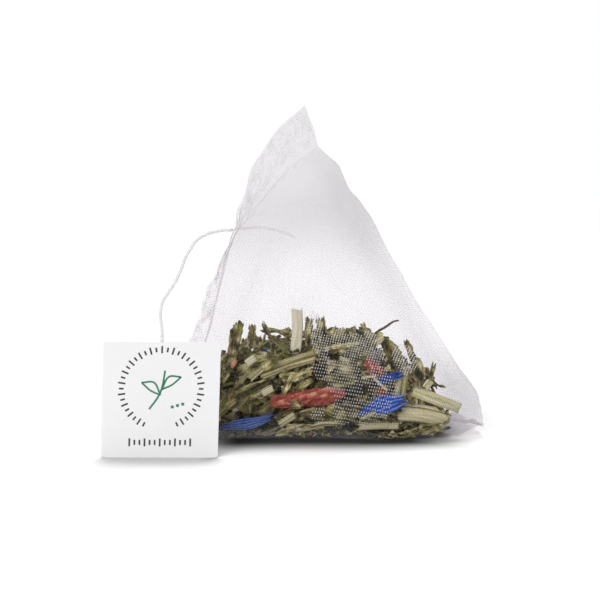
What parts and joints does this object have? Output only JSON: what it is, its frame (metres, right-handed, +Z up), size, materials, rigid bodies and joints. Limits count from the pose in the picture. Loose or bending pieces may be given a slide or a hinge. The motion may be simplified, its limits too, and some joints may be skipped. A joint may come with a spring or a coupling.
{
  "type": "pyramid tea bag",
  "caption": "Pyramid bag of fine white mesh holding loose green tea with lemongrass, dried fruit and blue petals, with a thread and a square card tag.",
  "frame": {"origin": "middle of the footprint of bag and tag, on the surface it stands on", "axes": "+X to the right as seen from the tag's side, +Y away from the tag, +Z up"},
  "size_m": [0.0678, 0.0626, 0.0588],
  "materials": {
    "mesh": "fine clear monofilament mesh, slight sheen",
    "thread": "white two-ply cotton thread",
    "card": "matt white card with plain printing",
    "tea_bed": "small dark leaf, matt",
    "tea_leaf": "dried green tea leaf, matt and ridged",
    "lemongrass": "dried grass stem, ribbed along its length",
    "fruit": "dried red fruit, wrinkled",
    "petal": "dried blue petal, soft and matt",
    "twig": "thin dark stem"
  },
  "bodies": {
    "root": {"chip_low": "lemongrass", "fruit_back_right": "fruit", "fruit_chip": "fruit", "fruit_strip": "fruit", "leaf_back_left": "tea_leaf", "leaf_back_left_2": "tea_leaf", "leaf_back_right": "tea_leaf", "leaf_back_right_2": "tea_leaf", "leaf_bed": "tea_bed", "leaf_bright": "tea_leaf", "leaf_corner_left": "tea_leaf", "leaf_curly": "tea_leaf", "leaf_flat": "tea_leaf", "leaf_left_inner": "tea_leaf", "leaf_left_upper": "tea_leaf", "leaf_low_right": "tea_leaf", "leaf_lower_left": "tea_leaf", "leaf_lower_left_2": "tea_leaf", "leaf_middle": "tea_leaf", "leaf_right_end": "tea_leaf", "leaf_slope": "tea_leaf", "leaf_spiky": "tea_leaf", "leaf_top": "tea_leaf", "leaf_top_2": "tea_leaf", "leaf_wedge": "tea_leaf", "lemongrass_back_left": "lemongrass", "lemongrass_back_right": "lemongrass", "lemongrass_base": "lemongrass", "lemongrass_fluted": "lemongrass", "lemongrass_stick": "lemongrass", "lemongrass_top": "lemongrass", "lemongrass_tube": "lemongrass", "lemongrass_upright": "lemongrass", "mesh_bag": "mesh", "petal_back_left": "petal", "petal_back_right": "petal", "petal_curl": "petal", "petal_left": "petal", "petal_top": "petal", "petal_upper": "petal", "stalk_long": "lemongrass", "string": "thread", "string_tail": "thread", "stub_left": "tea_leaf", "stub_left_thin": "tea_leaf", "stub_middle": "tea_leaf", "stub_right": "tea_leaf", "tag": "card", "twig_back_left": "twig", "twig_barbed": "twig", "twig_top": "twig", "twig_top_back": "twig"}
  },
  "joints": []
}
